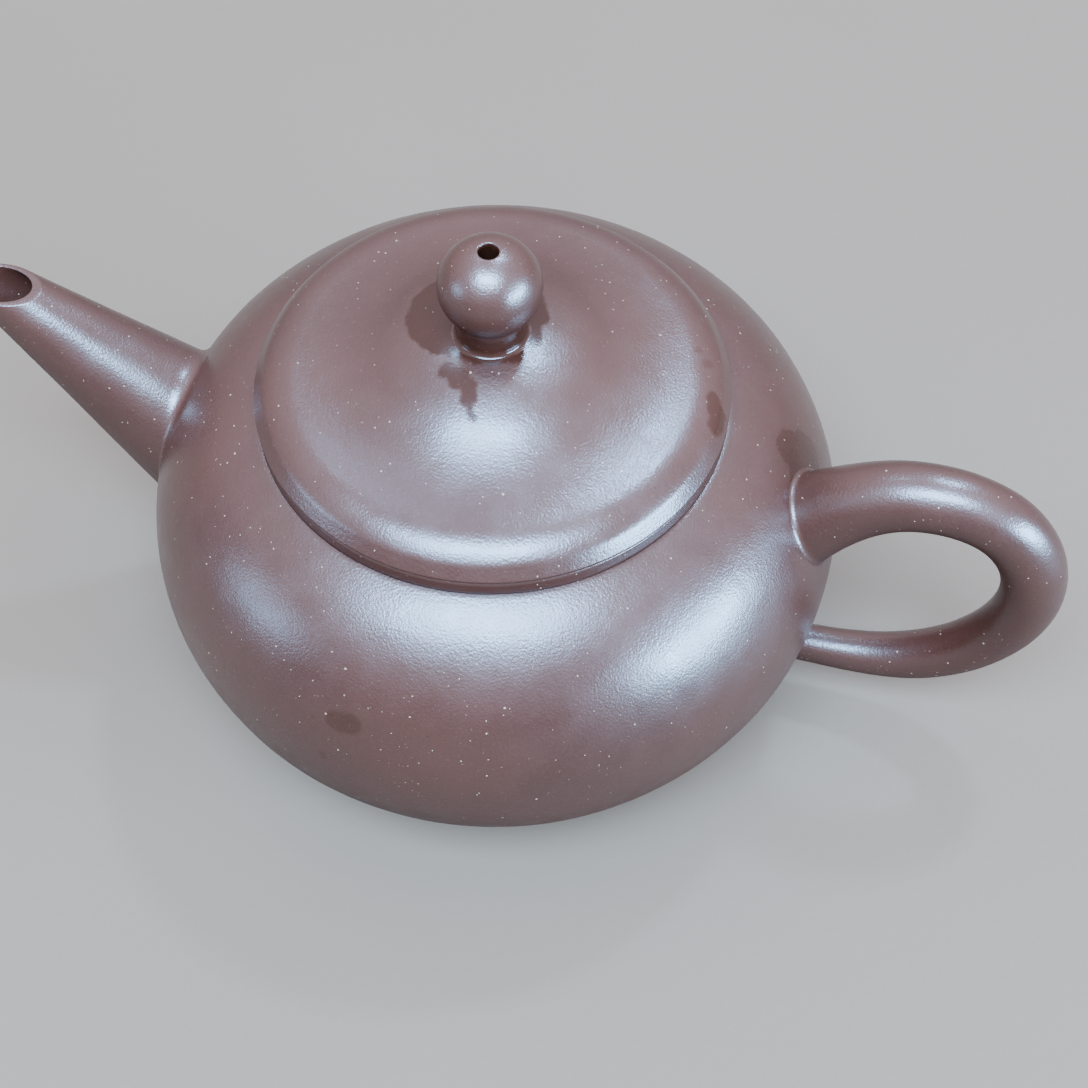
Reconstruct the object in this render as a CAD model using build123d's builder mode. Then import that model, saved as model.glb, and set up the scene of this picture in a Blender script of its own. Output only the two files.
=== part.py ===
from build123d import *
import os
from math import acos, asin, cos, degrees, hypot, radians, sin, sqrt

# A small slab-built teapot of unglazed clay, holding about 120 ml.
# Lengths are in millimetres, and heights run up from the plane that the foot stands on.
# The pot's axis is Z, the spout points to -X and the handle to +X.
# The spout's lip, the mouth and the top of the handle are level with each other.

# Pot body: an outline of three arcs that run into each other, and a wall of even thickness
belly_radius = 38.25
belly_height = 22.4
shoulder_arc = 20.6
hip_arc = 22.4
hip_sweep = 32.0
heel_arc = 32.0
wall = 2.4

# Seams where the top disc and the base disc are luted to the wall, as angles on their arcs
shoulder_seam = 47.0
base_seam = 52.0

# Base: pressed up in the middle, so that the pot stands on a narrow ring
standing_inner_radius = 21.4
standing_edge_fillet = 0.8
base_press = 1.7

# Mouth
mouth_height = 43.5
mouth_radius = 20.0
ring_radius = 24.9
ring_edge_fillet = 0.55
mouth_chamfer = 0.3

# Lid
seat_gap = 0.1
rim_radius = 25.0
rim_edge_height = 0.35
rim_edge_fillet = 0.15
rim_under_chamfer = 0.2
rim_arris_fillet = 0.5
rim_arc = 6.5
rim_arc_sweep = 36.0
rim_crest_radius = 20.4
rim_crest_height = 3.4
rim_crest_slope = 7.0
crown_radius = 11.5
crown_slope = 28.5
lid_wall = 2.2
plate_thickness = 1.3
flange_radius = 19.65
flange_wall = 2.0
flange_depth = 7.0
flange_chamfer = 0.4

# Knob, with the vent through it
knob_radius = 5.3
knob_centre_height = 15.45
neck_radius = 3.3
neck_cove = 0.9
vent_radius = 1.0
vent_rim_fillet = 0.35

# Spout: a straight cone, given by two points on its axis
spout_root_reach = 34.4
spout_root_height = 24.0
spout_root_radius = 8.45
spout_root_bore = 6.6
spout_lip_reach = 56.6
spout_lip_radius = 2.85
spout_lip_bore = 2.3
spout_overrun = 6.0

# Strainer: a perforated dome over the wall's opening behind the spout
wall_opening_radius = 5.8
strainer_radius = 7.0
strainer_wall = 1.3
strainer_hole_radius = 0.7
strainer_rings = [(0.0, 1), (2.3, 6), (4.5, 12)]

# Handle: reach from the axis, height and radius at each station, from the upper root to the tail
handle_stations = [
    (31.5, 28.3, 5.9),
    (36.7, 33.9, 4.5),
    (44.9, 39.4, 3.7),
    (54.4, 38.0, 3.55),
    (59.2, 31.0, 3.55),
    (57.8, 18.4, 3.15),
    (48.9, 9.4, 2.75),
    (39.5, 7.4, 2.3),
    (27.0, 7.8, 2.3),
]


def polar(centre, radius, angle):
    """The point at this radius and angle from a centre in the outline's plane."""
    turn = radians(angle)
    return (centre[0] + radius * cos(turn), centre[1] + radius * sin(turn))


def cap_rise(radius, angle):
    """How far an arc falls from its level crown to where it slopes at this angle."""
    return radius * (1 - cos(radians(angle)))


# The arcs of the body's outline share a radius line where they meet
shoulder_centre = (belly_radius - shoulder_arc, belly_height)
hip_centre = (belly_radius - hip_arc, belly_height)
heel_centre = polar(hip_centre, hip_arc - heel_arc, -hip_sweep)
ring_angle = degrees(acos((ring_radius - shoulder_centre[0]) / shoulder_arc))
ring_base_height = polar(shoulder_centre, shoulder_arc, ring_angle)[1]
foot_angle = -degrees(asin(heel_centre[1] / heel_arc))


def body_outline(inset, top_angle, bottom_angle):
    """Draw the body's arcs, inset from the outside, between an angle above and one below."""
    CenterArc(shoulder_centre, shoulder_arc - inset, top_angle, -top_angle)
    CenterArc(hip_centre, hip_arc - inset, 0, -hip_sweep)
    CenterArc(heel_centre, heel_arc - inset, -hip_sweep, bottom_angle + hip_sweep)


# Solid outside form of the body, to fit the spout and the handle against
ring_foot = polar(shoulder_centre, shoulder_arc, ring_angle)
foot_edge = polar(heel_centre, heel_arc, foot_angle)
with BuildPart() as pot_form:
    with BuildSketch(Plane.XZ):
        with BuildLine():
            body_outline(0, ring_angle, foot_angle)
            Polyline(ring_foot, (0, ring_foot[1]), (0, 0), foot_edge)
        make_face()
    revolve(axis=Axis.Z)

# Solid form of the hollow inside, to fit the strainer against
hollow_top = polar(shoulder_centre, shoulder_arc - wall, shoulder_seam)
hollow_bottom = polar(heel_centre, heel_arc - wall, -base_seam)
with BuildPart() as hollow_form:
    with BuildSketch(Plane.XZ):
        with BuildLine():
            body_outline(wall, shoulder_seam, -base_seam)
            Polyline(hollow_top, (0, hollow_top[1]), (0, hollow_bottom[1]), hollow_bottom)
        make_face()
    revolve(axis=Axis.Z)

# The spout's axis, as a frame that the spout, the opening behind it and the strainer share
spout_run = (spout_root_reach - spout_lip_reach, mouth_height - spout_root_height)
spout_length = hypot(*spout_run)
spout_axis = Vector(spout_run[0], 0, spout_run[1]).normalized()
spout_root = Vector(-spout_root_reach, 0, spout_root_height)


def across_spout(distance):
    """A plane square to the spout's axis, this far from its root."""
    return Plane(origin=spout_root + spout_axis * distance, x_dir=(0, 1, 0), z_dir=spout_axis)


def spout_taper(root_size, lip_size, distance):
    """A radius that runs straight from the spout's root to its lip."""
    return root_size + (lip_size - root_size) * distance / spout_length


# Wall of the body, beaten round from one slab, with the opening into the spout
seam_outer = polar(shoulder_centre, shoulder_arc, shoulder_seam)
seam_base = polar(heel_centre, heel_arc, -base_seam)
with BuildPart() as body_wall:
    with BuildSketch(Plane.XZ):
        with BuildLine():
            body_outline(0, shoulder_seam, -base_seam)
            body_outline(wall, shoulder_seam, -base_seam)
            Line(seam_outer, hollow_top)
            Line(seam_base, hollow_bottom)
        make_face()
    revolve(axis=Axis.Z)
    with BuildSketch(across_spout(-spout_overrun)):
        Circle(wall_opening_radius)
    extrude(amount=3 * spout_overrun, mode=Mode.SUBTRACT)

# Disc that closes the top of the wall, with the mouth cut in it
under_angle = degrees(acos((mouth_radius - shoulder_centre[0]) / (shoulder_arc - wall)))
mouth_under = polar(shoulder_centre, shoulder_arc - wall, under_angle)
with BuildPart() as shoulder_disc:
    with BuildSketch(Plane.XZ):
        with BuildLine():
            CenterArc(shoulder_centre, shoulder_arc, shoulder_seam, ring_angle - shoulder_seam)
            Polyline(ring_foot, (mouth_radius, ring_foot[1]), mouth_under)
            CenterArc(shoulder_centre, shoulder_arc - wall, shoulder_seam, under_angle - shoulder_seam)
            Line(seam_outer, hollow_top)
        make_face()
    revolve(axis=Axis.Z)

# Ring round the mouth, which the lid rests on
ring_height = mouth_height - ring_base_height
with BuildPart() as mouth_ring:
    with BuildSketch(Plane.XY.offset(ring_base_height)):
        Circle(ring_radius)
        Circle(mouth_radius, mode=Mode.SUBTRACT)
    extrude(amount=ring_height)
    ring_rims = mouth_ring.edges().group_by(Axis.Z)[-1].sort_by(SortBy.RADIUS)
    fillet(ring_rims[-1], ring_edge_fillet)
    chamfer(ring_rims[0], mouth_chamfer)

# Base disc, pressed up in the middle
with BuildPart() as base_disc:
    with BuildSketch(Plane.XZ) as base_section:
        with BuildLine():
            CenterArc(heel_centre, heel_arc, -base_seam, foot_angle + base_seam)
            Line(foot_edge, (standing_inner_radius, 0))
            TangentArc((0, base_press), (standing_inner_radius, 0), tangent=(1, 0))
            Line((0, base_press), (0, base_press + wall))
            TangentArc((0, base_press + wall), hollow_bottom, tangent=(1, 0))
            Line(seam_base, hollow_bottom)
        make_face()
        foot_corners = base_section.vertices().group_by(Axis.Y)[0]
        fillet(foot_corners, standing_edge_fillet)
    revolve(axis=Axis.Z)

# Spout, cut level at the lip and fitted to the body
with BuildPart() as spout:
    for distance in (-spout_overrun, spout_length + spout_overrun):
        with BuildSketch(across_spout(distance)):
            Circle(spout_taper(spout_root_radius, spout_lip_radius, distance))
    loft()
    for distance in (-spout_overrun, spout_length + spout_overrun):
        with BuildSketch(across_spout(distance)):
            Circle(spout_taper(spout_root_bore, spout_lip_bore, distance))
    loft(mode=Mode.SUBTRACT)
    split(bisect_by=Plane.XY.offset(mouth_height), keep=Keep.BOTTOM)
    add(pot_form.part, mode=Mode.SUBTRACT)

# Strainer, a perforated dome on the inside of the wall
with BuildPart() as spout_strainer:
    with Locations(spout_root + spout_axis * (wall / 2)):
        Sphere(strainer_radius)
        Sphere(strainer_radius - strainer_wall, mode=Mode.SUBTRACT)
    with BuildSketch(across_spout(-2 * strainer_radius)):
        for ring_size, count in strainer_rings:
            with PolarLocations(ring_size, count):
                Circle(strainer_hole_radius)
    extrude(amount=2 * strainer_radius, mode=Mode.SUBTRACT)
    add(hollow_form.part, mode=Mode.INTERSECT)

# Handle, an ear that thins towards its tail
with BuildPart() as handle:
    with BuildLine(Plane.XZ) as ear:
        Spline([(reach, height) for reach, height, radius in handle_stations])
    for reach, height, radius in handle_stations:
        station = Vector(reach, 0, height)
        along = ear.edge().param_at_point(station)
        with BuildSketch(Plane(origin=station, x_dir=(0, 1, 0), z_dir=ear.edge() % along)):
            Circle(radius)
    loft()
    add(pot_form.part, mode=Mode.SUBTRACT)

# The lid's outline: a crown, a shallow dip round it, and a rim that falls from its crest to an
# arris and then more steeply to its edge. The crown's height follows from the slopes.
seat_height = mouth_height + seat_gap
crown_arc = crown_radius / sin(radians(crown_slope))
dip_arc = (rim_crest_radius - crown_radius) / (sin(radians(crown_slope)) - sin(radians(rim_crest_slope)))
dip_fall = dip_arc * (cos(radians(rim_crest_slope)) - cos(radians(crown_slope)))
crest_height = seat_height + rim_crest_height
crown_top = crest_height + dip_fall + cap_rise(crown_arc, crown_slope)
crown_centre = (0, crown_top - crown_arc)
dip_centre = polar((rim_crest_radius, crest_height), dip_arc, 90 - rim_crest_slope)
rim_centre = polar((rim_crest_radius, crest_height), rim_arc, 270 - rim_crest_slope)
rim_arris = polar(rim_centre, rim_arc, 90 - rim_crest_slope - rim_arc_sweep)
rim_edge = (rim_radius, seat_height + rim_edge_height)
plate_top = seat_height + plate_thickness
dip_reach = dip_arc + lid_wall
lid_inner_radius = dip_centre[0] - sqrt(dip_reach**2 - (dip_centre[1] - plate_top) ** 2)
lid_inner_slope = degrees(acos((dip_centre[1] - plate_top) / dip_reach))

with BuildPart() as lid_form:
    with BuildSketch(Plane.XZ) as lid_section:
        with BuildLine():
            CenterArc(crown_centre, crown_arc, 90 - crown_slope, crown_slope)
            CenterArc(dip_centre, dip_arc, 270 - crown_slope, crown_slope - rim_crest_slope)
            CenterArc(rim_centre, rim_arc, 90 - rim_crest_slope, -rim_arc_sweep)
            Polyline(rim_arris, rim_edge, (rim_radius, seat_height), (0, seat_height), (0, crown_top))
        make_face()
        fillet(lid_section.vertices().sort_by(Axis.X)[-3], rim_arris_fillet)
        rim_corners = lid_section.vertices().group_by(Axis.X)[-1].sort_by(Axis.Y)
        fillet(rim_corners[-1], rim_edge_fillet)
        chamfer(rim_corners[0], rim_under_chamfer)
    revolve(axis=Axis.Z)

# Flat plate under the lid, which sits on the mouth ring
flange_inner_radius = flange_radius - flange_wall
with BuildPart() as lid_seat_plate:
    add(lid_form.part)
    split(bisect_by=Plane.XY.offset(plate_top), keep=Keep.BOTTOM)
    with BuildSketch(Plane.XY.offset(seat_height)):
        Circle(flange_inner_radius)
    extrude(amount=plate_thickness, mode=Mode.SUBTRACT)

# Domed top of the lid, hollow underneath
with BuildPart() as lid_dome:
    add(lid_form.part)
    split(bisect_by=Plane.XY.offset(plate_top), keep=Keep.TOP)
    with BuildSketch(Plane.XZ):
        with BuildLine():
            CenterArc(crown_centre, crown_arc - lid_wall, 90 - crown_slope, crown_slope)
            CenterArc(dip_centre, dip_reach, 270 - crown_slope, crown_slope - lid_inner_slope)
            Polyline(
                (lid_inner_radius, plate_top), (0, plate_top), (0, crown_top - lid_wall)
            )
        make_face()
    revolve(axis=Axis.Z, mode=Mode.SUBTRACT)
    with BuildSketch(Plane.XY.offset(plate_top)):
        Circle(vent_radius)
    extrude(amount=crown_top - plate_top, mode=Mode.SUBTRACT)

# Flange that reaches down into the mouth
with BuildPart() as lid_flange:
    with BuildSketch(Plane.XY.offset(seat_height)):
        Circle(flange_radius)
        Circle(flange_inner_radius, mode=Mode.SUBTRACT)
    extrude(amount=-flange_depth)
    chamfer(lid_flange.edges().group_by(Axis.Z)[0], flange_chamfer)

# Knob, a ball on a short neck, bored through for the vent
knob_centre = (0, seat_height + knob_centre_height)
vent_angle = degrees(acos(vent_radius / knob_radius))
neck_angle = -degrees(acos(neck_radius / knob_radius))
neck_bottom = crown_top - lid_wall / 2
with BuildPart() as knob:
    with BuildSketch(Plane.XZ) as knob_section:
        with BuildLine():
            ball = CenterArc(knob_centre, knob_radius, vent_angle, neck_angle - vent_angle)
            Polyline(ball @ 1, (neck_radius, neck_bottom), (vent_radius, neck_bottom), ball @ 0)
        make_face()
        fillet(knob_section.vertices().sort_by_distance(ball @ 1)[0], neck_cove)
        fillet(knob_section.vertices().sort_by_distance(ball @ 0)[0], vent_rim_fillet)
    revolve(axis=Axis.Z)
    add(lid_form.part, mode=Mode.SUBTRACT)

# Write each piece to its own file
pieces = {
    "body_wall": body_wall,
    "shoulder_disc": shoulder_disc,
    "mouth_ring": mouth_ring,
    "base_disc": base_disc,
    "spout": spout,
    "spout_strainer": spout_strainer,
    "handle": handle,
    "lid_dome": lid_dome,
    "lid_seat_plate": lid_seat_plate,
    "lid_flange": lid_flange,
    "knob": knob,
}
os.makedirs("parts", exist_ok=True)
for name, piece in pieces.items():
    piece.part.label = name
    export_step(piece.part, f"parts/{name}.step")
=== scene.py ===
import math
import random

import bpy
import numpy as np
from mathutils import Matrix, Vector


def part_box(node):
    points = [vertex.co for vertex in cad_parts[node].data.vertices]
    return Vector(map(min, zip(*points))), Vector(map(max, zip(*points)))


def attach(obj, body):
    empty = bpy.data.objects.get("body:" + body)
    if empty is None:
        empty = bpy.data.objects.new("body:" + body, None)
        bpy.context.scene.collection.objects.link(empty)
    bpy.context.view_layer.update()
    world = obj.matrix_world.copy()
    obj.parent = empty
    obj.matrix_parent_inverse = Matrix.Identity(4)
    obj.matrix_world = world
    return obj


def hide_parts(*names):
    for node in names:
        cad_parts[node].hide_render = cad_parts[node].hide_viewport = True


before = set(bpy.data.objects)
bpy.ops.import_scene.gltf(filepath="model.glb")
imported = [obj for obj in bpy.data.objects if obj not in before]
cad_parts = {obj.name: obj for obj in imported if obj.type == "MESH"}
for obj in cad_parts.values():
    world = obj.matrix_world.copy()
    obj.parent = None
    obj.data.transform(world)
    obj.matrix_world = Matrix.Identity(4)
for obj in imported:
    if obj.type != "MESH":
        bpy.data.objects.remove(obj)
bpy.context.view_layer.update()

MM = 0.001
random.seed(7)

# ---------------------------------------------------------------------------------------
# Sizes. The frame gives the outer heights and radii; the rest are the arcs and walls that
# make up the pot's outline. Everything is in millimetres until a mesh is made.
# ---------------------------------------------------------------------------------------


def node_span(node):
    """The lowest and highest corners of a CAD node, in millimetres."""
    low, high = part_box(node)
    return low / MM, high / MM


belly_radius = node_span("body_wall")[1].y
ring_radius = node_span("mouth_ring")[1].x
ring_foot_height = node_span("mouth_ring")[0].z
mouth_height = node_span("mouth_ring")[1].z
seat_height = node_span("lid_seat_plate")[0].z
rim_radius = node_span("lid_seat_plate")[1].x
flange_outer_radius = node_span("lid_flange")[1].x
knob_radius = node_span("knob")[1].x
knob_top = node_span("knob")[1].z

# Body: shoulder, hip and heel arcs run into each other, and the base is pressed up
belly_height = 22.4
shoulder_arc = 20.6
hip_arc = 22.4
hip_sweep = 32.0
heel_arc = 32.0
inner_heel_angle = -52.0
wall = 2.4
standing_inner_radius = 21.4
base_press = 1.7
base_axis_gap = 0.02
mouth_radius = 20.0

# Lid: crown and dip run into each other, and the rim rises from the dip to an arris
rim_arc = 6.5
rim_arc_sweep = 36.0
rim_edge_height = 0.35
rim_crest_radius = 20.4
rim_crest_height = 3.4
rim_crest_slope = 7.0
crown_radius = 11.5
crown_slope = 28.5
lid_wall = 2.2
plate_thickness = 1.3
flange_wall = 2.0

# Knob: a ball a little flatter than round, whose pole would stand above the vent's edge
knob_flatness = 0.95
knob_pole_rise = 0.2
neck_radius = 3.5
knob_foot_radius = 4.1
knob_root_depth = 1.0
vent_radius = 1.0

# Spout, a straight cone from its root to its lip
spout_root = np.array([-34.4, 0.0, 24.0])
spout_lip = np.array([-56.6, 0.0, mouth_height])
spout_root_radius = 8.45
spout_lip_radius = 2.85
spout_root_bore = 6.6
spout_lip_bore = 2.45
wall_opening_radius = 5.8
spout_reach = (-6.0, 16.0)

# Luted roots: how deep they run into the wall, and how far a fillet's edge lies in the clay
root_depth = 0.8
fillet_depth = 0.012

# Handle: reach, height and radius at each station
handle_stations = np.array([
    (31.5, 28.3, 5.9),
    (36.7, 33.9, 4.5),
    (44.9, 39.4, 3.7),
    (54.4, 38.0, 3.55),
    (59.2, 31.0, 3.55),
    (57.8, 18.4, 3.15),
    (48.9, 9.4, 2.75),
    (39.5, 7.4, 2.3),
    (27.0, 7.8, 2.3),
])
handle_top_reach = 18.0
handle_tail_reach = 20.0


# ---------------------------------------------------------------------------------------
# Outlines
# ---------------------------------------------------------------------------------------


def polar(centre, radius, angle):
    """The point at this radius and angle, in degrees, from a centre in the outline's plane."""
    turn = math.radians(angle)
    return np.array([centre[0] + radius * math.cos(turn), centre[1] + radius * math.sin(turn)])


def arc(centre, radius, start, end, step=1.5):
    """Points along an arc of the outline, about a step apart in degrees."""
    count = max(3, int(abs(end - start) / step) + 1)
    return [polar(centre, radius, angle) for angle in np.linspace(start, end, count)]


def line(start, end, spacing=0.6):
    """Points along a straight stretch of the outline, about a spacing apart."""
    start = np.array(start, float)
    end = np.array(end, float)
    count = max(2, int(np.linalg.norm(end - start) / spacing) + 1)
    return [start + (end - start) * t for t in np.linspace(0, 1, count)]


def rounded(start, corner, end, shares):
    """Points or rings on the curve that rounds a corner, at these shares of its run."""
    return [start * (1 - t) ** 2 + corner * 2 * t * (1 - t) + end * t * t for t in shares]


def trimmed(points, length, from_end):
    """The stretch without this length of one end, up to the point where it is cut."""
    points = points[::-1] if from_end else list(points)
    while len(points) > 2 and np.linalg.norm(points[1] - points[0]) <= length:
        length -= np.linalg.norm(points[1] - points[0])
        points = points[1:]
    run = points[1] - points[0]
    points = [points[0] + run * min(0.95, length / np.linalg.norm(run))] + list(points[1:])
    return points[::-1] if from_end else points


def outline(stretches, rounds, steps=6):
    """Join stretches end to end, and round the corner after each by the given length."""
    result = []
    count = len(stretches)
    for i, stretch in enumerate(stretches):
        before = rounds[i - 1]
        after = rounds[i]
        piece = list(stretch)
        if before:
            piece = trimmed(piece, before, False)
        if after:
            piece = trimmed(piece, after, True)
        result += piece
        if after:
            following = trimmed(list(stretches[(i + 1) % count]), after, False)[0]
            result += rounded(piece[-1], stretch[-1], following, np.linspace(0, 1, steps + 2)[1:-1])
    return without_repeats(result)


def without_repeats(points, least=0.004):
    """A closed outline with the points left out that stand on the one before."""
    kept = [points[0]]
    for point in points[1:]:
        if np.linalg.norm(point - kept[-1]) > least:
            kept.append(point)
    if np.linalg.norm(kept[0] - kept[-1]) < least:
        kept.pop()
    return np.array(kept)


shoulder_centre = (belly_radius - shoulder_arc, belly_height)
hip_centre = (belly_radius - hip_arc, belly_height)
heel_centre = polar(hip_centre, hip_arc - heel_arc, -hip_sweep)
foot_angle = -math.degrees(math.asin(heel_centre[1] / heel_arc))
foot_edge = polar(heel_centre, heel_arc, foot_angle)


def body_depth(points):
    """How far points lie outside the body's outline, and the outward normals there."""
    around = np.hypot(points[:, 0], points[:, 1])
    height = points[:, 2]
    depth = np.empty(len(points))
    normal_r = np.empty(len(points))
    normal_z = np.empty(len(points))
    hip_angle = np.degrees(np.arctan2(height - hip_centre[1], around - hip_centre[0]))
    on_shoulder = height >= belly_height
    on_heel = ~on_shoulder & (hip_angle < -hip_sweep)
    on_hip = ~on_shoulder & ~on_heel
    for chosen, centre, radius in (
        (on_shoulder, shoulder_centre, shoulder_arc),
        (on_hip, hip_centre, hip_arc),
        (on_heel, heel_centre, heel_arc),
    ):
        dr = around[chosen] - centre[0]
        dz = height[chosen] - centre[1]
        size = np.hypot(dr, dz)
        depth[chosen] = size - radius
        normal_r[chosen] = dr / size
        normal_z[chosen] = dz / size
    out = points[:, :2] / around[:, None]
    return depth, np.column_stack([out * normal_r[:, None], normal_z])


def onto_body(points, sunk=0.0):
    """Move points onto the body's outline, or this far under it."""
    for _ in range(3):
        depth, normal = body_depth(points)
        points = points - normal * (depth + sunk)[:, None]
    return points


# ---------------------------------------------------------------------------------------
# Meshes
# ---------------------------------------------------------------------------------------


def waves(points, period, seed):
    """A smooth field of about -1 to 1 that varies over a period, the same on every run."""
    draw = np.random.default_rng(seed)
    total = np.zeros(len(points))
    count = 14
    for _ in range(count):
        direction = draw.normal(size=3)
        direction /= np.linalg.norm(direction)
        stretch = period * draw.uniform(0.7, 1.5)
        total += np.sin(points @ direction * (2 * math.pi / stretch) + draw.uniform(0, 2 * math.pi))
    return total / math.sqrt(count)


def hand_finish(points, normals):
    """The slight unevenness that beating and burnishing by hand leave, along the normals."""
    beaten = 0.035 * waves(points, 26.0, 1)
    scraped = 0.012 * waves(points, 9.0, 2)
    rubbed = 0.0035 * waves(points, 3.2, 3)
    return points + normals * (beaten + scraped + rubbed)[:, None]


def grid_faces(rows, columns, close_rows):
    """Quads over a grid of points that goes round in its columns, and in its rows if closed."""
    row = np.arange(rows if close_rows else rows - 1)
    column = np.arange(columns)
    a = row[:, None] * columns + column
    b = row[:, None] * columns + (column + 1) % columns
    step = ((row + 1) % rows)[:, None] * columns
    c = step + (column + 1) % columns
    d = step + column
    return np.stack([a, b, c, d], -1).reshape(-1, 4).tolist()


def end_caps(columns, count):
    """The two faces that close a grid of this many points over its first and last rings."""
    return [list(range(columns))[::-1], list(range(count - columns, count))]


def make_mesh(name, points, faces, uneven=True):
    """A smooth-shaded object from points in millimetres, facing outwards."""
    mesh = bpy.data.meshes.new(name)
    mesh.from_pydata((points * MM).tolist(), [], faces)
    mesh.update()
    piece = bpy.data.objects.new(name, mesh)
    bpy.context.scene.collection.objects.link(piece)
    face_outwards(mesh)
    if uneven:
        count = len(mesh.vertices)
        normals = np.empty(count * 3, np.float32)
        mesh.vertex_normals.foreach_get("vector", normals)
        moved = hand_finish(points, normals.reshape(-1, 3).astype(float))
        mesh.vertices.foreach_set("co", (moved * MM).ravel())
        mesh.update()
    mesh.shade_smooth()
    return piece


def face_outwards(mesh):
    """Turn the faces of a closed mesh over if they enclose a negative volume."""
    count = len(mesh.vertices)
    points = np.empty(count * 3, np.float32)
    mesh.vertices.foreach_get("co", points)
    points = points.reshape(-1, 3).astype(float)
    mesh.calc_loop_triangles()
    corners = np.empty(len(mesh.loop_triangles) * 3, np.int32)
    mesh.loop_triangles.foreach_get("vertices", corners)
    triangles = points[corners.reshape(-1, 3)]
    volume = np.einsum("ij,ij->i", triangles[:, 0], np.cross(triangles[:, 1], triangles[:, 2])).sum()
    if volume < 0:
        mesh.flip_normals()


def turned(name, profile, segments):
    """A closed body of revolution about the pot's axis, from a closed outline."""
    angles = np.linspace(0, 2 * math.pi, segments, endpoint=False)
    rings = np.stack([
        profile[:, 0][:, None] * np.cos(angles),
        profile[:, 0][:, None] * np.sin(angles),
        profile[:, 1][:, None] + 0 * angles,
    ], -1)
    faces = grid_faces(len(profile), segments, True)
    return make_mesh(name, rings.reshape(-1, 3), faces)


def skinned(rings, cuts, steps=5):
    """Rings of points with the corner at each ring rounded off by its cut."""
    result = []
    for i, ring in enumerate(rings):
        if not cuts[i]:
            result.append(ring)
            continue
        back = rings[i - 1] - ring
        ahead = rings[i + 1] - ring
        start = ring + back * np.minimum(cuts[i] / np.linalg.norm(back, axis=1), 0.48)[:, None]
        end = ring + ahead * np.minimum(cuts[i] / np.linalg.norm(ahead, axis=1), 0.48)[:, None]
        result += rounded(start, ring, end, np.linspace(0, 1, steps + 2))
    return result


# ---------------------------------------------------------------------------------------
# The pot's body, with the ring round its mouth
# ---------------------------------------------------------------------------------------


def build_body():
    """Wall, shoulder and base as the one smooth clay body that they are fired into."""
    ring_angle = math.degrees(math.acos((ring_radius - shoulder_centre[0]) / shoulder_arc))
    under_angle = math.degrees(math.acos((mouth_radius - shoulder_centre[0]) / (shoulder_arc - wall)))
    inner_foot = polar(heel_centre, heel_arc - wall, inner_heel_angle)
    ring_foot = polar(shoulder_centre, shoulder_arc, ring_angle)
    mouth_under = polar(shoulder_centre, shoulder_arc - wall, under_angle)
    press_arc = (standing_inner_radius ** 2 + base_press ** 2) / (2 * base_press)
    press_sweep = math.degrees(math.asin(standing_inner_radius / press_arc))
    floor_rise = inner_foot[1] - (base_press + wall)
    floor_arc = (inner_foot[0] ** 2 + floor_rise ** 2) / (2 * floor_rise)
    floor_sweep = math.degrees(math.asin(inner_foot[0] / floor_arc))
    under = arc((0, base_press - press_arc), press_arc, 90 - press_sweep, 90, 0.6)
    inside = arc((0, base_press + wall + floor_arc), floor_arc, 270, 270 + floor_sweep, 0.25)
    under[-1] = np.array([base_axis_gap, base_press])
    inside[0] = np.array([base_axis_gap, base_press + wall])
    stretches = [
        arc(shoulder_centre, shoulder_arc, ring_angle, 0),
        arc(hip_centre, hip_arc, 0, -hip_sweep),
        arc(heel_centre, heel_arc, -hip_sweep, foot_angle),
        line(foot_edge, (standing_inner_radius, 0)),
        under,
        line(under[-1], inside[0]),
        inside,
        arc(heel_centre, heel_arc - wall, inner_heel_angle, -hip_sweep),
        arc(hip_centre, hip_arc - wall, -hip_sweep, 0),
        arc(shoulder_centre, shoulder_arc - wall, 0, under_angle),
        line(mouth_under, (mouth_radius, ring_foot[1])),
        line((mouth_radius, ring_foot[1]), ring_foot),
    ]
    rounds = [0, 0, 0.8, 0.8, 0, 0, 2.0, 0, 0, 0.4, 0, 0]
    return turned("pot_body_clay", outline(stretches, rounds), 320)


def cut_wall_opening(body):
    """Cut the opening behind the spout through the body's wall."""
    direction = (spout_lip - spout_root) / np.linalg.norm(spout_lip - spout_root)
    side = np.array([0.0, 1.0, 0.0])
    up = np.cross(direction, side)
    columns = 64
    angles = np.linspace(0, 2 * math.pi, columns, endpoint=False)
    circle = wall_opening_radius * (np.outer(np.cos(angles), side) + np.outer(np.sin(angles), up))
    points = np.vstack([circle + spout_root + direction * reach for reach in (-7.0, 9.0)])
    faces = grid_faces(2, columns, False) + end_caps(columns, len(points))
    cutter = make_mesh("cutter", points, faces, uneven=False)
    boolean = body.modifiers.new("opening", "BOOLEAN")
    boolean.operation = "DIFFERENCE"
    boolean.solver = "EXACT"
    boolean.object = cutter
    bpy.context.view_layer.update()
    cut = bpy.data.meshes.new_from_object(body.evaluated_get(bpy.context.evaluated_depsgraph_get()))
    body.modifiers.clear()
    body.data = cut
    cut.name = body.name
    cut.shade_smooth()
    bpy.data.objects.remove(cutter)


def build_mouth_ring():
    """The ring that the lid sits on, with its edges rounded and its foot crisp on the shoulder."""
    sunk_foot = ring_foot_height - 0.25
    inner_foot = (mouth_radius, sunk_foot)
    inner_top = (mouth_radius, mouth_height)
    outer_top = (ring_radius, mouth_height)
    outer_foot = (ring_radius, sunk_foot)
    stretches = [
        line(inner_foot, inner_top),
        line(inner_top, outer_top),
        line(outer_top, outer_foot),
        line(outer_foot, inner_foot),
    ]
    rounds = [0.3, 0.5, 0, 0]
    return turned("mouth_ring_clay", outline(stretches, rounds), 320)


# ---------------------------------------------------------------------------------------
# Spout and handle, with small fillets where they are luted to the body
# ---------------------------------------------------------------------------------------


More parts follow.
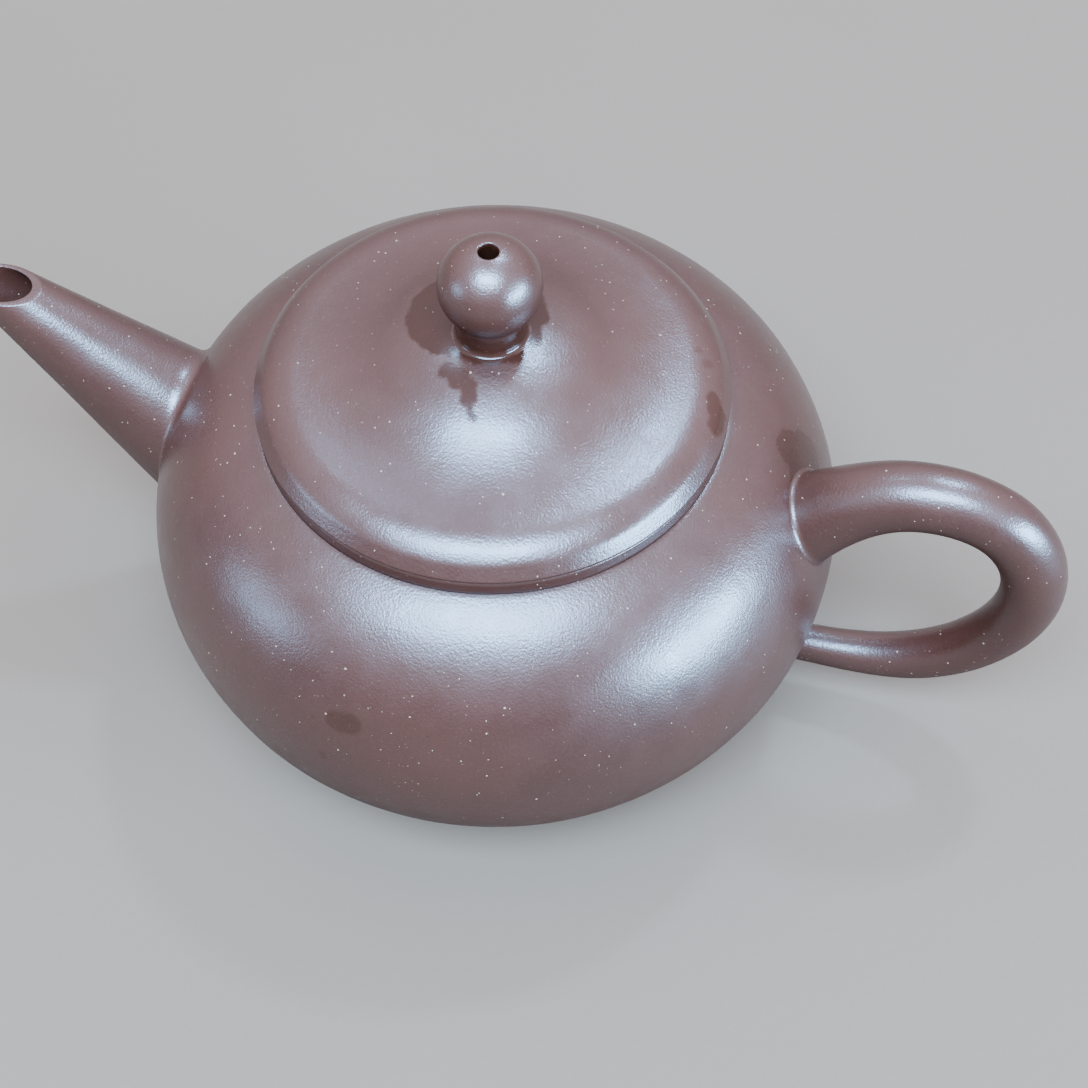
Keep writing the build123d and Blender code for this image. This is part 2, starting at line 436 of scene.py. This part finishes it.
def meets_body(surface, columns, inside, outside):
    """Where each column of a surface crosses the body, between two values of its run."""
    low = np.full(columns, inside)
    high = np.full(columns, outside)
    for _ in range(40):
        middle = (low + high) / 2
        within = body_depth(surface(middle))[0] < 0
        low = np.where(within, middle, low)
        high = np.where(within, high, middle)
    return (low + high) / 2


def luted_root(surface, crossing, fillet, run_sign, outwards):
    """Rings from the surface, round a fillet and onto the body, then down into its wall."""
    meet = surface(crossing)
    start = surface(crossing + run_sign * fillet)
    _, normal = body_depth(meet)
    along = outwards - normal * np.einsum("ij,ij->i", outwards, normal)[:, None]
    along /= np.linalg.norm(along, axis=1)[:, None]
    width = np.linalg.norm(start - meet, axis=1)[:, None]
    end = onto_body(meet + along * width * 0.9, fillet_depth)
    rings = rounded(start, meet, end, np.linspace(0, 1, 9))
    rings.append(onto_body(end + along * 0.15, 0.1 * root_depth))
    rings.append(onto_body(end - along * 0.3, root_depth))
    return rings


def build_spout():
    """A straight cone, hollow, with a level lip, luted to the wall."""
    columns = 144
    angles = np.linspace(0, 2 * math.pi, columns, endpoint=False)
    length = np.linalg.norm(spout_lip - spout_root)
    direction = (spout_lip - spout_root) / length
    side = np.array([0.0, 1.0, 0.0])
    up = np.cross(direction, side)
    radial = np.outer(np.cos(angles), side) + np.outer(np.sin(angles), up)

    def cone(root_size, lip_size):
        """The cone's points as a function of how far they lie along its axis."""
        def surface(run):
            size = root_size + (lip_size - root_size) * run / length
            return spout_root + direction * run[:, None] + radial * size[:, None]
        return surface

    def level_run(root_size, lip_size):
        """How far along the axis each column of a cone comes level with the mouth."""
        taper = (lip_size - root_size) / length
        climb = mouth_height - spout_root[2] - root_size * radial[:, 2]
        return climb / (direction[2] + taper * radial[:, 2])

    outer = cone(spout_root_radius, spout_lip_radius)
    inner = cone(spout_root_bore, spout_lip_bore)
    outer_lip = level_run(spout_root_radius, spout_lip_radius)
    inner_lip = level_run(spout_root_bore, spout_lip_bore)
    crossing = meets_body(outer, columns, *spout_reach)
    fillet = 0.45 + 2.1 * np.clip(radial[:, 2], 0, 1) ** 1.5
    root = luted_root(outer, crossing, fillet, 1, radial)
    start = crossing + fillet
    outer_rings = [outer(outer_lip + (start - outer_lip) * t) for t in np.linspace(0, 1, 60)[1:-1]]
    bore_crossing = meets_body(inner, columns, *spout_reach)
    bore_foot = onto_body(inner(bore_crossing), root_depth)
    inner_end = bore_crossing + 0.6
    inner_rings = [inner(inner_end + (inner_lip - inner_end) * t) for t in np.linspace(0, 1, 50)[:-1]]
    lip = skinned([inner_rings[-1], inner(inner_lip), outer(outer_lip), outer_rings[0]], [0, 0.2, 0.5, 0], 6)
    rings = outer_rings + root + [bore_foot] + inner_rings + lip[1:-1]
    points = np.vstack(rings)
    return make_mesh("spout_clay", points, grid_faces(len(rings), columns, True))


def smooth_through(stations, count):
    """A natural cubic spline through the stations, by chord length, sampled evenly."""
    chord = np.concatenate([[0], np.cumsum(np.linalg.norm(np.diff(stations[:, :2], axis=0), axis=1))])
    gaps = np.diff(chord)
    size = len(stations)
    matrix = np.zeros((size, size))
    target = np.zeros((size, stations.shape[1]))
    matrix[0, 0] = matrix[-1, -1] = 1
    for i in range(1, size - 1):
        matrix[i, i - 1:i + 2] = gaps[i - 1], 2 * (gaps[i - 1] + gaps[i]), gaps[i]
        rise_after = (stations[i + 1] - stations[i]) / gaps[i]
        rise_before = (stations[i] - stations[i - 1]) / gaps[i - 1]
        target[i] = 6 * (rise_after - rise_before)
    bend = np.linalg.solve(matrix, target)
    runs = np.linspace(0, chord[-1], count)
    span = np.clip(np.searchsorted(chord, runs, side="right") - 1, 0, size - 2)
    t = (runs - chord[span])[:, None]
    gap = gaps[span][:, None]
    bend_a = bend[span]
    bend_b = bend[span + 1]
    slope = (stations[span + 1] - stations[span]) / gap - gap * (2 * bend_a + bend_b) / 6
    return runs, stations[span] + slope * t + bend_a / 2 * t ** 2 + (bend_b - bend_a) / (6 * gap) * t ** 3


def build_handle():
    """An ear that thins towards its tail, luted to the wall at both ends."""
    columns = 72
    runs, line_points = smooth_through(handle_stations, 600)
    centres = np.column_stack([line_points[:, 0], np.zeros(len(runs)), line_points[:, 1]])
    sizes = line_points[:, 2]
    tangents = np.gradient(centres, runs, axis=0)
    tangents /= np.linalg.norm(tangents, axis=1)[:, None]
    angles = np.linspace(0, 2 * math.pi, columns, endpoint=False)
    side = np.array([0.0, 1.0, 0.0])

    def along_run(run, values):
        """The values that belong to these places along the handle."""
        return np.column_stack([np.interp(run, runs, values[:, k]) for k in range(3)])

    def spokes(run):
        """From the middle of the handle out to its skin, at each column's own place."""
        up = np.cross(along_run(run, tangents), side)
        up /= np.linalg.norm(up, axis=1)[:, None]
        out = side * np.cos(angles)[:, None] + up * np.sin(angles)[:, None]
        return out * np.interp(run, runs, sizes)[:, None]

    def surface(run):
        return along_run(run, centres) + spokes(run)

    def root(inside, outside, run_sign, fillet):
        """Where the handle's skin leaves a root, and the rings of that root."""
        crossing = meets_body(surface, columns, inside, outside)
        rings = luted_root(surface, crossing, fillet, run_sign, spokes(crossing))
        centre = rings[-1].mean(axis=0)
        for share in (0.66, 0.33, 0.02):
            rings.append(onto_body(centre + (rings[-1] - centre) * share, root_depth))
        return crossing + run_sign * fillet, rings

    first, first_root = root(0.0, handle_top_reach, 1, 0.6)
    last, last_root = root(runs[-1], runs[-1] - handle_tail_reach, -1, 0.4)
    middle = [surface(first + (last - first) * t) for t in np.linspace(0, 1, 170)[1:-1]]
    rings = first_root[::-1] + middle + last_root
    points = np.vstack(rings)
    faces = grid_faces(len(rings), columns, False) + end_caps(columns, len(points))
    return make_mesh("handle_clay", points, faces)


# ---------------------------------------------------------------------------------------
# Lid and knob
# ---------------------------------------------------------------------------------------

crown_arc = crown_radius / math.sin(math.radians(crown_slope))
crest = np.array([rim_crest_radius, seat_height + rim_crest_height])
slope_change = math.sin(math.radians(crown_slope)) - math.sin(math.radians(rim_crest_slope))
dip_arc = (rim_crest_radius - crown_radius) / slope_change
dip_fall = dip_arc * (math.cos(math.radians(rim_crest_slope)) - math.cos(math.radians(crown_slope)))
dip_centre = polar(crest, dip_arc, 90 - rim_crest_slope)
crown_top = crest[1] + dip_fall + crown_arc * (1 - math.cos(math.radians(crown_slope)))
crown_centre = (0.0, crown_top - crown_arc)
rim_centre = polar(crest, rim_arc, 270 - rim_crest_slope)
rim_arris = polar(rim_centre, rim_arc, 90 - rim_crest_slope - rim_arc_sweep)


def crown_angle(radius):
    """The angle on the crown's arc at this distance from the axis."""
    return math.degrees(math.acos(radius / crown_arc))


def build_lid():
    """Dome and seat plate as the one fired lid, hollow underneath, with the vent through it."""
    plate_top = seat_height + plate_thickness
    flange_inner = flange_outer_radius - flange_wall
    rim_edge = (rim_radius, seat_height + rim_edge_height)
    rim_foot = (rim_radius, seat_height)
    hollow_foot = (flange_inner, seat_height)
    hollow_top = (flange_inner, plate_top)
    reach = dip_arc + lid_wall
    inner_radius = dip_centre[0] - math.sqrt(reach ** 2 - (dip_centre[1] - plate_top) ** 2)
    inner_slope = math.degrees(math.acos((dip_centre[1] - plate_top) / reach))
    vent_top = polar(crown_centre, crown_arc, crown_angle(vent_radius))
    vent_foot = np.array([vent_radius, crown_top - lid_wall])
    inner_crown = arc(crown_centre, crown_arc - lid_wall, 90 - crown_slope, 90)
    inner_crown[-1] = vent_foot
    stretches = [
        arc(crown_centre, crown_arc, crown_angle(vent_radius), 90 - crown_slope),
        arc(dip_centre, dip_arc, 270 - crown_slope, 270 - rim_crest_slope, 0.8),
        arc(rim_centre, rim_arc, 90 - rim_crest_slope, 90 - rim_crest_slope - rim_arc_sweep, 2),
        line(rim_arris, rim_edge),
        line(rim_edge, rim_foot, 0.3),
        line(rim_foot, hollow_foot),
        line(hollow_foot, hollow_top),
        line(hollow_top, (inner_radius, plate_top)),
        arc(dip_centre, reach, 270 - inner_slope, 270 - crown_slope),
        inner_crown,
        line(vent_foot, vent_top),
    ]
    rounds = [0, 0, 0.3, 0.08, 0.22, 0.2, 0, 0, 0, 0.2, 0]
    return turned("lid_clay", outline(stretches, rounds), 288)


def build_knob():
    """A ball on a short neck that spreads into the crown, bored through for the vent."""
    centre = np.array([0.0, knob_top + knob_pole_rise - knob_flatness * knob_radius])
    vent_angle = math.degrees(math.acos(vent_radius / knob_radius))
    neck_angle = -math.degrees(math.acos(neck_radius / knob_radius))
    ball = []
    for angle in np.linspace(vent_angle, neck_angle, 50):
        ball.append(centre + polar((0, 0), knob_radius, angle) * (1, knob_flatness))
    neck_foot = polar(crown_centre, crown_arc, crown_angle(neck_radius))
    skirt = polar(crown_centre, crown_arc, crown_angle(knob_foot_radius))
    root_height = crown_top - knob_root_depth
    root_edge = (knob_foot_radius - 0.2, root_height)
    vent_foot = (vent_radius, root_height)
    stretches = [
        ball,
        line(ball[-1], neck_foot, 0.2),
        line(neck_foot, skirt, 0.2),
        line(skirt, root_edge),
        line(root_edge, vent_foot),
        line(vent_foot, ball[0]),
    ]
    rounds = [0.6, 0.75, 0, 0, 0, 0.28]
    return turned("knob_clay", outline(stretches, rounds, 8), 144)


# ---------------------------------------------------------------------------------------
# Damp marks and painted shade. Each is a few round blobs: a point on the clay, a radius and how strong the
# mark is.
# ---------------------------------------------------------------------------------------


def dried_drop(centre, radius, size, strength):
    """Blobs round the edge of a drop that has dried."""
    blobs = []
    for turn in np.linspace(0, 2 * math.pi, 14, endpoint=False):
        x = centre[0] + radius * math.cos(turn)
        y = centre[1] + radius * math.sin(turn)
        blobs.append((x, y, centre[2], size * random.uniform(0.6, 1.1), strength))
    return blobs


knob_puddle = [
    (-3.5, 2.2, 52.3, 6.4, 1.0),
    (0.2, 0.6, 52.7, 5.1, 1.0),
    (-0.4, 3.4, 52.6, 5.7, 1.0),
]
lid_drip = [
    (-3.1, -5.7, 52.0, 1.1, 0.9),
    (-1.7, -6.4, 51.9, 1.5, 0.9),
    (-0.5, -7.0, 51.7, 1.2, 0.9),
    (-0.2, -8.1, 51.4, 1.0, 0.9),
    (0.3, -8.9, 51.1, 0.7, 0.9),
    (0.9, -9.7, 50.8, 0.8, 0.9),
    (1.1, -10.6, 50.4, 0.55, 0.9),
]
rim_stain = [
    (23.0, 2.0, 46.0, 1.0, 0.8),
    (23.6, 0.8, 45.6, 1.5, 0.8),
    (24.0, -0.5, 45.3, 1.5, 0.8),
    (21.4, 6.2, 46.5, 1.0, 0.35),
    (20.3, 7.4, 46.8, 0.8, 0.35),
]
belly_marks = [
    (-5.4, -35.9, 31.0, 1.5, 0.55),
    (-6.8, -35.9, 30.7, 1.4, 0.5),
    (-8.1, -37.2, 24.9, 0.9, 0.5),
]
# Painted shadow of the handle's arch on the shoulder beside its upper root: a dark, slightly glossy patch
handle_shadow_patch = [
    (31.9, 4.6, 37.2, 2.7, 0.55),
    (33.4, 5.6, 35.4, 3.0, 0.55),
    (33.2, 2.6, 36.0, 2.4, 0.55),
    (33.9, 0.4, 35.2, 1.5, 0.55),
]
lid_marks = knob_puddle + lid_drip + rim_stain + dried_drop((14.8, 7.1, 47.8), 1.9, 0.45, 0.4)
body_marks = (
    belly_marks
    + handle_shadow_patch
    + dried_drop((-8.0, -36.0, 29.8), 1.7, 0.45, 0.4)
    + dried_drop((27.6, -1.8, 40.3), 0.7, 0.35, 0.5)
)
# Painted shade down the vent's bore, which darkens the inside of the hole
vent_bore_shade = [(0, 0, height, 1.5, 1.9) for height in range(53, 64)]
knob_marks = [(0, 0, 52.6, 4.3, 1.0)] + vent_bore_shade


def paint_damp_and_shade(piece, blobs):
    """Store on a piece's points how deep in the nearest blob they lie and how strong that blob is; the blobs
    are damp marks and painted shade.
    """
    mesh = piece.data
    points = np.empty(len(mesh.vertices) * 3, np.float32)
    mesh.vertices.foreach_get("co", points)
    points = points.reshape(-1, 3).astype(float) / MM
    depth = np.full(len(points), -5.0)
    strength = np.zeros(len(points))
    for x, y, z, radius, mark_strength in blobs:
        inside = radius - np.linalg.norm(points - (x, y, z), axis=1)
        nearer = inside > depth
        depth[nearer] = inside[nearer]
        strength[nearer] = mark_strength
    for name, values in (("damp_and_shade_depth", depth), ("damp_and_shade_strength", strength)):
        attribute = mesh.attributes.new(name, "FLOAT", "POINT")
        attribute.data.foreach_set("value", values.astype(np.float32))


# ---------------------------------------------------------------------------------------
# Materials
# ---------------------------------------------------------------------------------------

CLAY_LIGHT = (0.031, 0.0094, 0.0058)
CLAY_DARK = (0.0245, 0.0072, 0.0047)
CLAY_WARM = (0.034, 0.0090, 0.0050)
CLAY_FLECK = (0.036, 0.015, 0.010)
CLAY_FRECKLE = (0.11, 0.060, 0.045)
CLAY_PIT = (0.008, 0.003, 0.002)
# Dark wet clay for the damp marks, also used as painted shade in the vent's bore and as painted shadow
# beside the handle's root
CLAY_WET_AND_SHADE = (0.013, 0.004, 0.002)
SAND = (0.36, 0.25, 0.16)
CLAY_ROUGHNESS = 0.31
# Matt undersides, which offset the light that the pale floor throws up
MATT_ROUGHNESS = 0.5
MATT_SHINE = 0.06
WET_ROUGHNESS = 0.16
DRY_SHINE = 0.5
WET_SHINE = 0.22
GRAIN_HEIGHT = 0.05
FLOOR_DARK = (0.100, 0.066, 0.041)
FLOOR_LIGHT = (0.110, 0.073, 0.046)


class Nodes:
    """A short way to add and join shader nodes."""

    def __init__(self, name):
        self.material = bpy.data.materials.new(name)
        self.material.use_nodes = True
        self.tree = self.material.node_tree
        self.shader = self.tree.nodes["Principled BSDF"]

    def add(self, kind, inputs=None, **settings):
        """A node with its inputs joined to sockets or set to values."""
        node = self.tree.nodes.new(kind)
        for key, value in settings.items():
            setattr(node, key, value)
        for key, value in (inputs or {}).items():
            if isinstance(value, bpy.types.NodeSocket):
                self.tree.links.new(value, node.inputs[key])
            else:
                node.inputs[key].default_value = value
        return node

    def math(self, operation, a, b=0.0, clamp=False):
        node = self.add("ShaderNodeMath", {0: a, 1: b}, operation=operation, use_clamp=clamp)
        return node.outputs[0]

    def ramp(self, value, low, high, start=0.0, end=1.0, smooth=True):
        """The value carried from the range low to high onto the range start to end."""
        kind = "SMOOTHSTEP" if smooth else "LINEAR"
        inputs = {0: value, 1: low, 2: high, 3: start, 4: end}
        return self.add("ShaderNodeMapRange", inputs, interpolation_type=kind).outputs[0]

    def blend(self, factor, a, b):
        """A number between a and b."""
        return self.add("ShaderNodeMix", {0: factor, 2: a, 3: b}).outputs[0]

    def mix(self, factor, a, b):
        """A colour between a and b."""
        node = self.add("ShaderNodeMix", data_type="RGBA")
        for index, value in ((0, factor), (6, a), (7, b)):
            if isinstance(value, bpy.types.NodeSocket):
                self.tree.links.new(value, node.inputs[index])
            elif index:
                node.inputs[index].default_value = (*value, 1)
            else:
                node.inputs[index].default_value = value
        return node.outputs[2]

    def noise(self, place, period, detail=3.0, roughness=0.5):
        """Noise whose features are about a period across, in millimetres."""
        inputs = {"Vector": place, "Scale": 1 / (period * MM), "Detail": detail, "Roughness": roughness}
        return self.add("ShaderNodeTexNoise", inputs).outputs["Fac"]

    def grains(self, place, spacing, size, share, offset):
        """Round grains of a size, on a share of the cells of a pattern of that spacing."""
        shift = {0: place, 1: (offset, offset, offset)}
        shifted = self.add("ShaderNodeVectorMath", shift, operation="ADD").outputs[0]
        cells = self.add("ShaderNodeTexVoronoi", {"Vector": shifted, "Scale": 1 / (spacing * MM)})
        chance = self.add("ShaderNodeSeparateColor", {0: cells.outputs["Color"]})
        present = self.math("LESS_THAN", chance.outputs[0], share)
        reach = self.math("MULTIPLY", chance.outputs[1], size / spacing)
        round_spot = self.math("SUBTRACT", reach, cells.outputs["Distance"])
        edge = self.ramp(round_spot, 0.0, 0.12 * size / spacing)
        return self.math("MULTIPLY", edge, present)


def clay_colour(n, place, freckles, pale, dark):
    """Purple-brown clay with a broad and a fine mottle, freckles, sand grains and dark pits."""
    broad = n.noise(place, 18.0, 2)
    cloud = n.noise(place, 3.5, 3)
    fine = n.noise(place, 0.35, 3, 0.6)
    body = n.mix(n.ramp(broad, 0.3, 0.7), CLAY_DARK, CLAY_LIGHT)
    body = n.mix(n.ramp(cloud, 0.35, 0.75, 0.0, 0.35), body, CLAY_WARM)
    body = n.mix(n.ramp(fine, 0.42, 0.7, 0.0, 0.3), body, CLAY_FLECK)
    body = n.mix(n.math("MULTIPLY", freckles, 0.6), body, CLAY_FRECKLE)
    body = n.mix(n.math("MULTIPLY", pale, 0.6), body, SAND)
    return n.mix(n.math("MULTIPLY", dark, 0.5), body, CLAY_PIT)


def clay_grain(n, place, pale, dark):
    """The height of the grain: fine and coarse, with the sand standing out and the pits sunk."""
    fine = n.math("MULTIPLY", n.noise(place, 0.26, 2, 0.5), 0.6)
    coarse = n.math("MULTIPLY", n.noise(place, 1.2, 2, 0.5), 0.3)
    height = n.math("ADD", fine, coarse)
    height = n.math("ADD", height, n.math("MULTIPLY", pale, 0.3))
    return n.math("SUBTRACT", height, n.math("MULTIPLY", dark, 0.5))


def dampness_and_shade(n, place):
    """How strong the damp marks and painted shade are, from the painted blobs, with an edge that wanders a
    little.
    """
    depth = n.add("ShaderNodeAttribute", attribute_name="damp_and_shade_depth").outputs["Fac"]
    strength = n.add("ShaderNodeAttribute", attribute_name="damp_and_shade_strength").outputs["Fac"]
    wander = n.ramp(n.noise(place, 2.4, 3, 0.5), 0.3, 0.7, -0.35, 0.35, False)
    return n.math("MULTIPLY", n.ramp(n.math("ADD", depth, wander), -0.1, 0.5), strength)


def clay_material(name, damp_and_shade):
    """Zisha clay burnished to a satin, and more matt where it faces down."""
    n = Nodes(name)
    place = n.add("ShaderNodeTexCoord").outputs["Object"]
    freckles = n.grains(place, 0.5, 0.08, 0.5, 0.047)
    pale = n.math("MAXIMUM", n.grains(place, 0.7, 0.10, 0.45, 0.0), n.grains(place, 1.5, 0.14, 0.5, 0.013))
    dark = n.grains(place, 1.2, 0.12, 0.4, 0.031)
    body = clay_colour(n, place, freckles, pale, dark)
    height = clay_grain(n, place, pale, dark)
    normal = n.add("ShaderNodeNewGeometry").outputs["Normal"]
    upward = n.add("ShaderNodeSeparateXYZ", {0: normal}).outputs["Z"]
    cloud = n.noise(place, 3.5, 3)
    roughness = n.ramp(cloud, 0.3, 0.7, CLAY_ROUGHNESS - 0.03, CLAY_ROUGHNESS + 0.03)
    roughness = n.math("ADD", roughness, n.ramp(upward, -0.4, 0.3, MATT_ROUGHNESS - CLAY_ROUGHNESS, 0.0))
    shine = n.ramp(upward, -0.45, 0.4, MATT_SHINE, DRY_SHINE)
    if damp_and_shade:
        wet_and_shade = dampness_and_shade(n, place)
        # Darken towards the wet clay colour: real damp marks, and painted shade in the vent and beside the
        # handle's root
        body = n.mix(n.math("MULTIPLY", wet_and_shade, 0.5, True), body, CLAY_WET_AND_SHADE)
        roughness = n.blend(wet_and_shade, roughness, WET_ROUGHNESS)
        shine = n.blend(wet_and_shade, shine, WET_SHINE)
        height = n.math("MULTIPLY", height, n.ramp(wet_and_shade, 0.0, 1.0, 1.0, 0.35, False))
    bump = n.add("ShaderNodeBump", {"Strength": 1.0, "Distance": GRAIN_HEIGHT * MM, "Height": height})
    n.tree.links.new(body, n.shader.inputs["Base Color"])
    n.tree.links.new(roughness, n.shader.inputs["Roughness"])
    n.tree.links.new(shine, n.shader.inputs["Specular IOR Level"])
    n.tree.links.new(bump.outputs[0], n.shader.inputs["Normal"])
    n.shader.inputs["IOR"].default_value = 1.6
    return n.material


def floor_material():
    """A plain, pale, matt surface with a faint mottle."""
    n = Nodes("pale_floor")
    place = n.add("ShaderNodeTexCoord").outputs["Object"]
    tone = n.mix(n.noise(place, 60.0, 3), FLOOR_DARK, FLOOR_LIGHT)
    n.tree.links.new(tone, n.shader.inputs["Base Color"])
    n.shader.inputs["Roughness"].default_value = 0.85
    grain = n.noise(place, 1.2, 3)
    bump = n.add("ShaderNodeBump", {"Strength": 0.4, "Distance": 0.1 * MM, "Height": grain})
    n.tree.links.new(bump.outputs[0], n.shader.inputs["Normal"])
    return n.material


# ---------------------------------------------------------------------------------------
# The object
# ---------------------------------------------------------------------------------------

clay = clay_material("zisha_clay_dry", damp_and_shade=False)
clay_marked = clay_material("zisha_clay_with_damp_and_shade_marks", damp_and_shade=True)


def finish_piece(piece, body, nodes, marks=None):
    """Give a piece its clay and its damp marks and painted shade, and let it ride in the place of its CAD
    nodes.
    """
    if marks:
        paint_damp_and_shade(piece, marks)
    piece.data.materials.append(clay_marked if marks else clay)
    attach(piece, body)
    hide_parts(*nodes)


pot_body = build_body()
cut_wall_opening(pot_body)
finish_piece(pot_body, "pot", ["body_wall", "shoulder_disc", "base_disc"], body_marks)
finish_piece(build_mouth_ring(), "pot", ["mouth_ring"])
finish_piece(build_spout(), "pot", ["spout"])
finish_piece(build_handle(), "pot", ["handle"])
finish_piece(build_lid(), "lid", ["lid_dome", "lid_seat_plate"], lid_marks)
finish_piece(build_knob(), "lid", ["knob"], knob_marks)

for kept in ("spout_strainer", "lid_flange"):
    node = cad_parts[kept]
    node.data.materials.clear()
    node.data.materials.append(clay)

# ---------------------------------------------------------------------------------------
# Stage, light and camera
# ---------------------------------------------------------------------------------------

COOL = (0.35, 0.63, 1.0)
SKY_TINT = (0.96, 0.80, 0.90)
SKY_AT_HORIZON = 0.8
SKY_OVERHEAD = 3.2
LIGHT_CENTRE = Vector((0, 0, 0.04))
LIGHT_DISTANCE = 1.0


def lay_floor():
    """A floor that runs out to the horizon, just under the pot's standing ring."""
    bpy.ops.mesh.primitive_plane_add(size=24.0, location=(0, 0, -0.0002))
    floor = bpy.context.object
    floor.name = "floor"
    floor.data.materials.append(floor_material())


def light_sky():
    """A soft sky that is brighter overhead than at the horizon."""
    world = bpy.data.worlds.new("studio")
    world.use_nodes = True
    nodes = world.node_tree.nodes
    links = world.node_tree.links
    place = nodes.new("ShaderNodeTexCoord")
    height = nodes.new("ShaderNodeSeparateXYZ")
    strength = nodes.new("ShaderNodeMapRange")
    strength.inputs["From Max"].default_value = 0.9
    strength.inputs["To Min"].default_value = SKY_AT_HORIZON
    strength.inputs["To Max"].default_value = SKY_OVERHEAD
    links.new(place.outputs["Generated"], height.inputs[0])
    links.new(height.outputs["Z"], strength.inputs["Value"])
    nodes["Background"].inputs[0].default_value = (*SKY_TINT, 1)
    links.new(strength.outputs["Result"], nodes["Background"].inputs[1])
    bpy.context.scene.world = world


def softbox(name, direction, width, height, strength):
    """A rectangular soft light in a direction from the pot, turned to face it."""
    lamp = bpy.data.lights.new(name, "AREA")
    lamp.shape = "RECTANGLE"
    lamp.size = width
    lamp.size_y = height
    lamp.energy = strength
    lamp.color = COOL
    holder = bpy.data.objects.new(name, lamp)
    away = Vector(direction).normalized()
    holder.location = LIGHT_CENTRE + away * LIGHT_DISTANCE
    holder.rotation_euler = away.to_track_quat("Z", "Y").to_euler()
    bpy.context.scene.collection.objects.link(holder)


def place_camera(look_at, azimuth, elevation, distance):
    """A camera that looks at a point from this side and height, in degrees, and distance."""
    turn = math.radians(azimuth)
    rise = math.radians(elevation)
    away = Vector((math.sin(turn) * math.cos(rise), -math.cos(turn) * math.cos(rise), math.sin(rise)))
    data = bpy.data.cameras.new("camera")
    data.sensor_width = 36.0
    data.lens = 66.18
    data.clip_start = 0.005
    camera = bpy.data.objects.new("camera", data)
    camera.location = look_at + away * distance
    camera.rotation_euler = away.to_track_quat("Z", "Y").to_euler()
    bpy.context.scene.collection.objects.link(camera)
    bpy.context.scene.camera = camera


lay_floor()
light_sky()
softbox("top_softbox", (0.05, -0.43, 0.90), 0.72, 0.38, 94.0)
softbox("right_window", (0.93, -0.22, 0.19), 0.60, 0.20, 64.0)
softbox("left_window", (-0.82, -0.50, 0.20), 0.30, 0.20, 4.5)
softbox("back_right_softbox", (0.16, 0.46, 0.87), 0.09, 0.09, 14.0)
softbox("back_left_softbox", (-0.38, 0.32, 0.87), 0.10, 0.10, 2.0)
place_camera(Vector((10.28, -18.09, mouth_height)) * MM, 14.66, 55.85, 0.1988)
